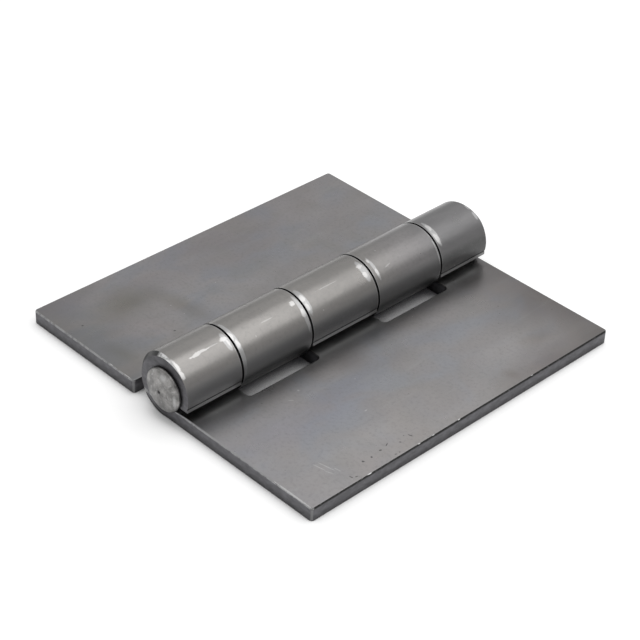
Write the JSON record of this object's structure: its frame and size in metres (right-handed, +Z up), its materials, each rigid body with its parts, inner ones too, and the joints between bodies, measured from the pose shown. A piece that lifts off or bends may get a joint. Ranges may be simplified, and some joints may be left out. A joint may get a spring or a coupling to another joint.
{
  "type": "weld-on butt hinge",
  "caption": "Flat bare-steel butt hinge with plain leaves to be welded on, rolled knuckles and a headed pin, swinging freely from folded shut to past a right angle the other way.",
  "frame": {"origin": "on the plane of the leaves' undersides, below the middle of the pin", "axes": "+Y along the pin, +X towards the leaf that carries the pin, +Z up from the leaves' undersides through the barrel"},
  "size_m": [0.098, 0.104, 0.017],
  "materials": {
    "leaf_steel": "oiled mill finish with bright ground edges",
    "pin_steel": "bare steel, formed heads"
  },
  "bodies": {
    "pin_leaf": {"three_knuckle_leaf": "leaf_steel", "hinge_pin": "pin_steel"},
    "swing_leaf": {"two_knuckle_leaf": "leaf_steel"}
  },
  "joints": [
    {"name": "leaf_swing", "type": "hinge", "parent": "pin_leaf", "child": "swing_leaf", "pos_m": [0, 0, 0.0085], "axis": [0, 1, 0], "range_deg": [-100, 190]}
  ]
}
